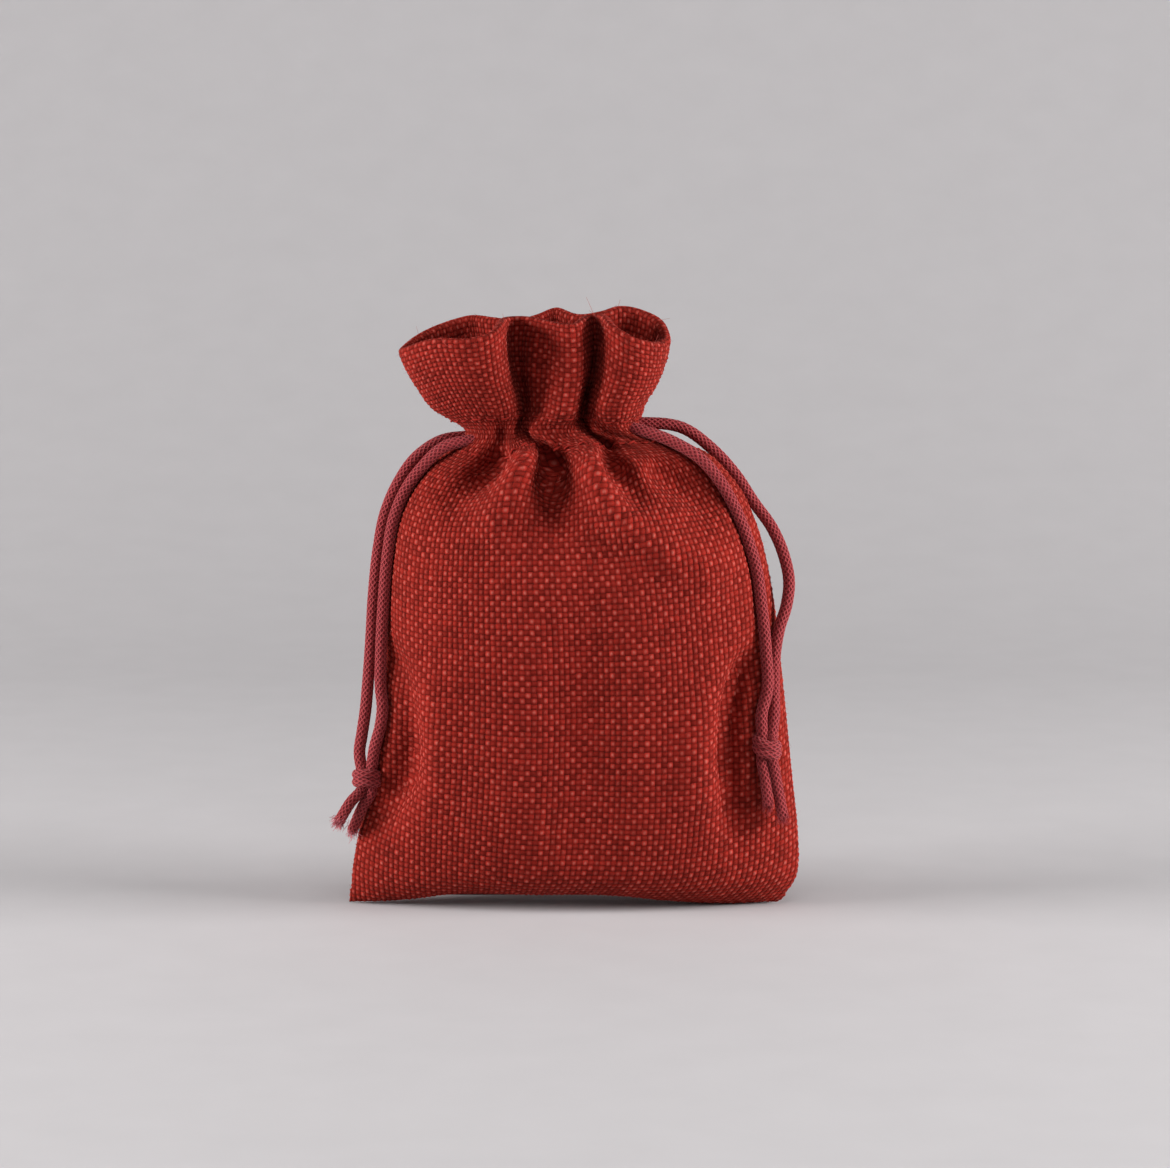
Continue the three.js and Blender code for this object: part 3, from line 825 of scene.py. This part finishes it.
def finer(grid):
    """The grid with a new point between each two neighbours, by the four-point cubic rule."""
    between = (9 * (grid + np.roll(grid, -1, 1)) - np.roll(grid, 1, 1) - np.roll(grid, -2, 1)) / 16
    wide = np.empty((grid.shape[0], 2 * grid.shape[1], 3))
    wide[:, 0::2] = grid
    wide[:, 1::2] = between
    low = 2 * wide[:1] - wide[1:2]
    high = 2 * wide[-1:] - wide[-2:-1]
    padded = np.concatenate([low, wide, high])
    middle = (9 * (padded[1:-2] + padded[2:-1]) - padded[:-3] - padded[3:]) / 16
    tall = np.empty((2 * grid.shape[0] - 1, wide.shape[1], 3))
    tall[0::2] = wide
    tall[1::2] = middle
    return tall


def row_holds(up_count):
    """How strongly each row is drawn to its place: firm at the neck and rim, slack on the shoulder."""
    share = np.arange(up_count) / (up_count - 1)
    knots = [0.0, 0.05, 0.3, 0.62, 0.72, 0.79, 0.81, 0.84, 0.9, 1.0]
    holds = [0.05, 0.04, 0.03, 0.03, 0.04, 0.12, 0.16, 0.10, 0.08, 0.14]
    return np.interp(share, knots, holds)[:, None, None]


def settled_cloth(sizes, paths):
    """The cloth's settled surface on three finer and finer grids, with no weave on it yet."""
    round_count = sizes.threads_round // 2
    up_count = sizes.threads_up // 2 + 1
    target = cloth_target(sizes, round_count, up_count)
    grid = relax_cloth(target.copy(), target, paths, 160, row_holds(up_count), 0.02)
    target = cloth_target(sizes, 2 * round_count, 2 * up_count - 1)
    grid = relax_cloth(finer(grid), target, paths, 160, 0.5 * row_holds(2 * up_count - 1), 0.01)
    grid = finer(grid)
    for _ in range(3):
        soft = eased(grid, 1, 1)
        soft[1:-1] = 0.25 * (soft[:-2] + soft[2:] + 2 * soft[1:-1])
        grid = soft
    press_folds(grid, 0.5)
    for _ in range(4):
        press_cords(grid, grid_normals(grid), paths, CORD_RADIUS + 0.4)
    normals = grid_normals(grid)
    for seam in (0, grid.shape[1] // 2):
        for offset, sink in ((-1, 0.35), (0, 0.75), (1, 0.35)):
            grid[6:, seam + offset] -= sink * normals[6:, seam]
    grid[0] = 0.5 * (grid[0] + grid[0, mirrored(grid.shape[1])])
    return grid


def woven(grid, relief, seed):
    """Raise the weave along the normals: a crown on each crossing, a dip at each gap, uprights prouder."""
    rows, columns = grid.shape[:2]
    i, j = np.meshgrid(np.arange(rows), np.arange(columns), indexing="ij")
    wave = 0.5 * (np.where(i % 2, 1.0, -1.0) + np.where(j % 2, 1.0, -1.0))
    crossing = (i % 2) * (j % 2)
    upright = (i // 2 + j // 2) % 2
    draw = np.random.default_rng(seed)
    uneven = draw.normal(0.0, 0.30, (rows, columns)) * crossing
    height = wave + crossing * np.where(upright, 0.35, -0.25) + uneven
    return grid + grid_normals(grid) * (0.5 * relief * height)[..., None]


def pouch_shell(sizes, outer):
    """Close the cloth: outer face, rounded rim, the ruffle's lining and a plainer wall to the fold."""
    rows, columns = outer.shape[:2]
    normals = grid_normals(outer)
    thick = sizes.cloth_thickness / MM
    casing = int(round(CASING_SHARE * (rows - 1)))
    smooth = eased(outer, 60, 1)
    flat_normals = unit(eased(normals, 60, 1))
    hem = thick + HEM_EXTRA
    inward = unit(eased(-normals, 5, 1))
    layers = [outer]
    up = unit(outer[-1] - outer[-5])
    for angle in (0.35, 0.75, 1.15, 1.57, 2.0, 2.4, 2.8):
        round_off = inward[-1] * (1 - math.cos(angle)) + up * math.sin(angle)
        layers.append((outer[-1] + 0.5 * hem * round_off)[None])
    for row in np.linspace(rows - 2, casing + 10, 12).astype(int):
        depth = (row - casing) / (rows - casing)
        keep = np.clip((depth - 0.25) / 0.4, 0.0, 1.0)
        line = keep * (outer[row] + inward[row] * (thick + HEM_EXTRA * keep))
        line += (1 - keep) * (smooth[row] - flat_normals[row] * (thick + 1.6))
        layers.append(line[None])
    for row in np.linspace(casing, 12, 14).astype(int):
        gathered = np.clip(1 - abs(row - casing) / (0.22 * rows), 0.0, 1.0)
        line = smooth[row] - flat_normals[row] * (thick + 1.8 * gathered)
        line[:, 2] = np.maximum(line[:, 2], 1.6)
        layers.append(line[None])
    fold = layers[-1][0] * np.array([0.98, 0.0, 1.0])
    fold[:, 2] = 1.9
    fold = 0.5 * (fold + fold[mirrored(columns)])
    layers.append(fold[None])
    return np.concatenate(layers)


def shell_faces(points, columns, outer_rows):
    """Quads and corner UVs of the closed cloth, whose first and last rows fold onto themselves."""
    rows = points.shape[0]
    number = np.arange(rows * columns).reshape(rows, columns)
    for row in (0, -1):
        number[row] = np.minimum(number[row], number[row, mirrored(columns)])
    run = np.concatenate([[0.0], np.cumsum(np.linalg.norm(np.diff(points, axis=0), axis=-1).mean(1))])
    beyond = 1 + (run[outer_rows:] - run[outer_rows - 1]) / CLOTH_UP
    return ring_quads(number, np.concatenate([np.arange(outer_rows) / (outer_rows - 1), beyond]))


class POUCH_OT_stage(bpy.types.Operator):
    """Set the camera, the plain sweep and the soft lights"""

    bl_idname = "pouch.stage"
    bl_label = "Stage"

    def execute(self, context):
        scene = context.scene
        scene.view_settings.view_transform = "Standard"
        camera = bpy.data.objects.new("camera", bpy.data.cameras.new("camera"))
        camera.data.lens = CAMERA_LENS
        camera.data.sensor_width = 36.0
        camera.data.clip_start = 0.01
        back = np.array([0.0, -math.cos(CAMERA_RISE), math.sin(CAMERA_RISE)])
        camera.location = np.array(CAMERA_AIM) + CAMERA_FAR * back
        camera.rotation_euler = (math.radians(90.0) - CAMERA_RISE, 0.0, 0.0)
        scene.collection.objects.link(camera)
        scene.camera = camera
        self.make_sweep(scene.pouch_colours.floor)
        world = bpy.data.worlds.new("soft room")
        world.use_nodes = True
        sky = world.node_tree.nodes["Background"].inputs
        sky["Color"].default_value = WORLD_COLOUR
        sky["Strength"].default_value = WORLD_STRENGTH
        scene.world = world
        for name, place, size, power in LAMPS:
            lamp = bpy.data.lights.new(name, "AREA")
            lamp.shape = "RECTANGLE"
            lamp.size = size
            lamp.size_y = 0.6 * size
            lamp.energy = power
            holder = bpy.data.objects.new(name, lamp)
            holder.location = place
            way = np.array(LAMP_AIM) - np.array(place)
            tilt = math.atan2(math.hypot(way[0], way[1]), -way[2])
            holder.rotation_euler = (tilt, 0.0, math.atan2(way[1], way[0]) - math.pi / 2)
            scene.collection.objects.link(holder)
        return {"FINISHED"}

    def make_sweep(self, colour):
        """A floor that turns up into a wall by a quarter circle, carried straight across."""
        bend = np.linspace(0.0, 0.5 * np.pi, 25)
        turned = SWEEP_RADIUS * np.stack([np.sin(bend), 1 - np.cos(bend)], -1)
        wall = np.linspace(SWEEP_RADIUS, 1900.0, 7)[1:]
        profile = np.concatenate([
            np.stack([np.linspace(-2200.0, SWEEP_START, 12), np.zeros(12)], -1),
            turned[1:] + (SWEEP_START, 0.0),
            np.stack([np.full(6, SWEEP_START + SWEEP_RADIUS), wall], -1),
        ])
        across = np.linspace(-1800.0, 1800.0, SWEEP_COLUMNS)
        rows = len(profile)
        grid = np.concatenate([
            np.broadcast_to(across[None, :, None], (rows, SWEEP_COLUMNS, 1)),
            np.broadcast_to(profile[:, None], (rows, SWEEP_COLUMNS, 2)),
        ], -1)
        number = np.arange(rows * SWEEP_COLUMNS).reshape(rows, SWEEP_COLUMNS)
        faces = np.stack([number[:-1, :-1], number[:-1, 1:], number[1:, 1:], number[1:, :-1]], -1)
        material, net, sockets = new_material("pale sweep", {"Roughness": 0.95, "Specular IOR Level": 0.1})
        mottle = net.noise(net.put("TexCoord", out=3), 60.0, 4.0)
        paler = tuple(min(1.0, 1.04 * value) for value in colour[:3]) + (1.0,)
        darker = tuple(0.97 * value for value in colour[:3]) + (1.0,)
        net.tree.links.new(net.mix(mottle, darker, paler), sockets["Base Color"])
        new_piece("pale_sweep", grid, faces.reshape(-1, 4), None, material)


class POUCH_OT_drawcords(bpy.types.Operator):
    """Make the four hanging strands of the two braided cords"""

    bl_idname = "pouch.drawcords"
    bl_label = "Drawcords"

    def execute(self, context):
        sizes = context.scene.pouch_sizes
        material = bpy.data.materials["wine braid"]
        paths = strand_paths()
        for name, handed, *_ in STRANDS:
            path = paths[name]
            piece = new_piece(name, *tube_mesh(path, CORD_RADIUS - 0.03, sizes.braid_relief / MM), material)
            side = "left" if handed < 0 else "right"
            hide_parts(side + "_drawcord")
            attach(piece, "root")
        return {"FINISHED"}


class POUCH_OT_knots(bpy.types.Operator):
    """Tie each cord's two ends in a knot with frayed tails"""

    bl_idname = "pouch.knots"
    bl_label = "Knots"

    def execute(self, context):
        sizes = context.scene.pouch_sizes
        material = cord_material(context.scene.pouch_colours)
        for side, middle in KNOT_MIDDLES.items():
            middle = np.array(middle)
            handed = -1.0 if side == "left" else 1.0
            parts = []
            turn = np.linspace(0.0, 2 * np.pi * WRAP_TURNS, 120)
            drop = 1 - 2 * turn / turn[-1]
            wrap = np.stack([np.cos(turn + 0.6), np.sin(turn + 0.6), drop], -1) * WRAP_HALF
            wrap[:, 2] += handed * 0.55 * np.sin(turn)
            drawn_in = np.interp(turn, [0.0, 1.2, turn[-1] - 1.2, turn[-1]], [0.55, 1.0, 1.0, 0.55])
            wrap[:, :2] *= drawn_in[:, None]
            parts.append(tube_mesh(middle + wrap, 1.14, sizes.braid_relief / MM))
            for i, end in enumerate(TAIL_ENDS[side]):
                aside = (2 * i - 1) * 1.4
                end = np.array(end)
                points = [
                    middle + (handed * aside, 0.0, 2.6), middle + (aside * 0.5, 0.2, 0.0),
                    middle + (aside * 0.8, 0.0, -2.4),
                    middle + end * (0.45, 0.5, 0.52) + (aside * 0.4, 0.0, 0.0), middle + end * 0.97,
                ]
                path = smooth_path(points, PATH_STEP)
                parts.append(tube_mesh(path, CORD_RADIUS - 0.1, sizes.braid_relief / MM))
            points, faces, uvs = joined(parts)
            piece = new_piece(side + "_cord_knot", points, faces, uvs, material)
            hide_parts(side + "_knot")
            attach(piece, "root")
        return {"FINISHED"}


class POUCH_OT_cloth(bpy.types.Operator):
    """Gather, fill and settle the woven cloth, and close it with its lining"""

    bl_idname = "pouch.cloth"
    bl_label = "Cloth"

    def execute(self, context):
        sizes = context.scene.pouch_sizes
        paths = [path[HIDDEN_POINTS:] for path in strand_paths().values()]
        outer = woven(settled_cloth(sizes, paths), sizes.weave_relief / MM, 5)
        layers = pouch_shell(sizes, outer)
        faces, uvs = shell_faces(layers, outer.shape[1], outer.shape[0])
        material = cloth_material(sizes, context.scene.pouch_colours)
        piece = new_piece("gathered_cloth", layers, faces, uvs, material)
        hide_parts("pouch_cloth")
        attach(piece, "root")
        casing = int(round(CASING_SHARE * (outer.shape[0] - 1)))
        thread = new_piece("casing_stitches", *running_stitches(outer, (casing - 9, casing + 8)), None,
                           fray_material("sewing thread", context.scene.pouch_colours.warp))
        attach(thread, "root")
        return {"FINISHED"}


def fine_tubes(lines, radius, sides, draw):
    """Many thin tubes at once, each a ring of a few sides carried along its own line of points."""
    count, links = lines.shape[:2]
    tangents = unit(np.gradient(lines, axis=1))
    across = unit(np.cross(tangents, draw.normal(0.0, 1.0, (count, 1, 3))))
    above = np.cross(tangents, across)
    turn = np.arange(sides) * 2 * np.pi / sides
    ring = across[:, :, None] * np.cos(turn)[:, None] + above[:, :, None] * np.sin(turn)[:, None]
    points = lines[:, :, None] + radius * ring
    tube, i, j = np.meshgrid(np.arange(count), np.arange(links - 1), np.arange(sides), indexing="ij")
    base = (tube * links + i) * sides
    k = (j + 1) % sides
    faces = np.stack([base + j, base + k, base + sides + k, base + sides + j], -1)
    return points.reshape(-1, 3), faces.reshape(-1, 4)


def running_stitches(outer, rows):
    """Sewing thread along rows of the cloth: every stitch follows some points of its row, arched by
    a half sine so that its middle stands on the cloth and both ends go into it."""
    normals = grid_normals(outer)
    columns = outer.shape[1]
    index = (np.arange(0, columns, STITCH_EVERY)[:, None] + np.arange(STITCH_POINTS)) % columns
    arch = 0.5 * np.sin(np.linspace(0.0, np.pi, STITCH_POINTS)) - 0.2
    lines = np.concatenate([outer[row, index] + normals[row, index] * arch[:, None] for row in rows])
    return fine_tubes(lines, 0.24, 6, np.random.default_rng(8))


def filaments(starts, ways, lengths, radius, curl, seed, links=5):
    """Fine loose fibres: each a three-sided tube that leaves its start along its way and bends aside.

    A point at share t of a fibre is start plus way times length times t, plus a random
    sideways push times t squared, and the tube thins towards its tip.
    """
    draw = np.random.default_rng(seed)
    count = len(starts)
    aside = draw.normal(0.0, curl, (count, 1, 3)) * lengths[:, None, None]
    t = np.linspace(0.0, 1.0, links)[None, :, None]
    lines = starts[:, None] + ways[:, None] * lengths[:, None, None] * t + aside * t**2
    return fine_tubes(lines, radius * (1.0 - 0.55 * t[..., None]), 3, draw)


class POUCH_OT_loose_fibres(bpy.types.Operator):
    """Fray the cord's ends, and raise the cloth's fuzz and the loose threads at its rim"""

    bl_idname = "pouch.loose_fibres"
    bl_label = "Loose fibres"

    def execute(self, context):
        colours = context.scene.pouch_colours
        draw = np.random.default_rng(11)
        frayed = {
            "left": fray_material("frayed filament", colours.fray),
            "right": fray_material("cord filament", colours.cord),
        }
        for side, ends in TAIL_ENDS.items():
            starts = []
            ways = []
            for number, end in enumerate(ends):
                count = 260 if side == "left" and number == 0 else 110
                tip = np.array(KNOT_MIDDLES[side]) + np.array(end) * 0.93
                way = unit(np.array(end) * (1.0, 0.6, 1.0))
                starts.append(tip + draw.normal(0.0, 0.55, (count, 3)))
                ways.append(unit(way + draw.normal(0.0, 0.38, (count, 3))))
            starts = np.concatenate(starts)
            lengths = draw.uniform(0.7, 1.8, len(starts))
            points, faces = filaments(starts, np.concatenate(ways), lengths, 0.085, 0.3, 3)
            self.place(side + "_fray", points, faces, frayed[side], "cord")
        cloth = bpy.data.objects["gathered_cloth"].data
        flat = np.empty(3 * len(cloth.vertices))
        cloth.vertices.foreach_get("co", flat)
        spots = flat.reshape(-1, 3) / MM
        cloth.vertices.foreach_get("normal", flat)
        normals = flat.reshape(-1, 3)
        sizes = context.scene.pouch_sizes
        columns = 2 * sizes.threads_round
        outer = columns * (2 * sizes.threads_up + 1)
        picked = draw.integers(4 * columns, outer, FUZZ_COUNT)
        starts = spots[picked]
        ways = unit(normals[picked] * 0.7 + draw.normal(0.0, 0.55, (len(picked), 3)))
        points, faces = filaments(starts, ways, draw.uniform(0.4, 1.1, len(picked)), 0.022, 0.3, 4, 4)
        fuzz = fray_material("thread fuzz", (0.42, 0.055, 0.04, 1.0))
        self.place("cloth_fuzz", points, faces, fuzz, "cloth")
        rim = spots[outer - columns:outer]
        weights = np.where(rim[:, 0] > 4.0, 3.0, 1.0) * np.where(rim[:, 1] > 0.0, 2.0, 1.0)
        picked = draw.choice(columns, RIM_THREAD_COUNT, p=weights / weights.sum())
        starts = rim[picked] - (0.0, 0.0, 0.4)
        ways = unit(draw.normal(0.0, 0.7, (len(picked), 3)) + (0.0, 0.0, 0.9))
        points, faces = filaments(starts, ways, draw.uniform(0.8, 2.6, len(picked)), 0.06, 0.5, 6, 7)
        thread = fray_material("loose rim thread", (0.50, 0.09, 0.075, 1.0))
        self.place("rim_threads", points, faces, thread, "cloth")
        return {"FINISHED"}

    def place(self, name, points, faces, material, slot):
        """Put one batch of fibres on the body that the pouch rides on."""
        points[:, 2] = np.maximum(points[:, 2], 0.1)
        piece = new_piece(name, points, faces, None, material)
        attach(piece, "root")


class POUCH_PT_sidebar(bpy.types.Panel):
    """The pouch's sizes, colours and steps"""

    bl_label = "Drawstring Pouch"
    bl_idname = "POUCH_PT_sidebar"
    bl_space_type = "VIEW_3D"
    bl_region_type = "UI"
    bl_category = "Pouch"

    def draw(self, context):
        for group in (context.scene.pouch_sizes, context.scene.pouch_colours):
            box = self.layout.box()
            for name in group.bl_rna.properties.keys():
                if name not in ("rna_type", "name"):
                    box.prop(group, name)
        for step in STEPS:
            self.layout.operator(step.bl_idname)


STEPS = (POUCH_OT_stage, POUCH_OT_knots, POUCH_OT_drawcords, POUCH_OT_cloth, POUCH_OT_loose_fibres)
CLASSES = (PouchSizes, PouchColours) + STEPS + (POUCH_PT_sidebar,)


def register():
    for made in CLASSES:
        bpy.utils.register_class(made)
    bpy.types.Scene.pouch_sizes = bpy.props.PointerProperty(type=PouchSizes)
    bpy.types.Scene.pouch_colours = bpy.props.PointerProperty(type=PouchColours)


def unregister():
    del bpy.types.Scene.pouch_colours
    del bpy.types.Scene.pouch_sizes
    for made in reversed(CLASSES):
        bpy.utils.unregister_class(made)


def main():
    register()
    bpy.ops.pouch.stage()
    bpy.ops.pouch.knots()
    bpy.ops.pouch.drawcords()
    bpy.ops.pouch.cloth()
    bpy.ops.pouch.loose_fibres()


if __name__ == "__main__":
    main()
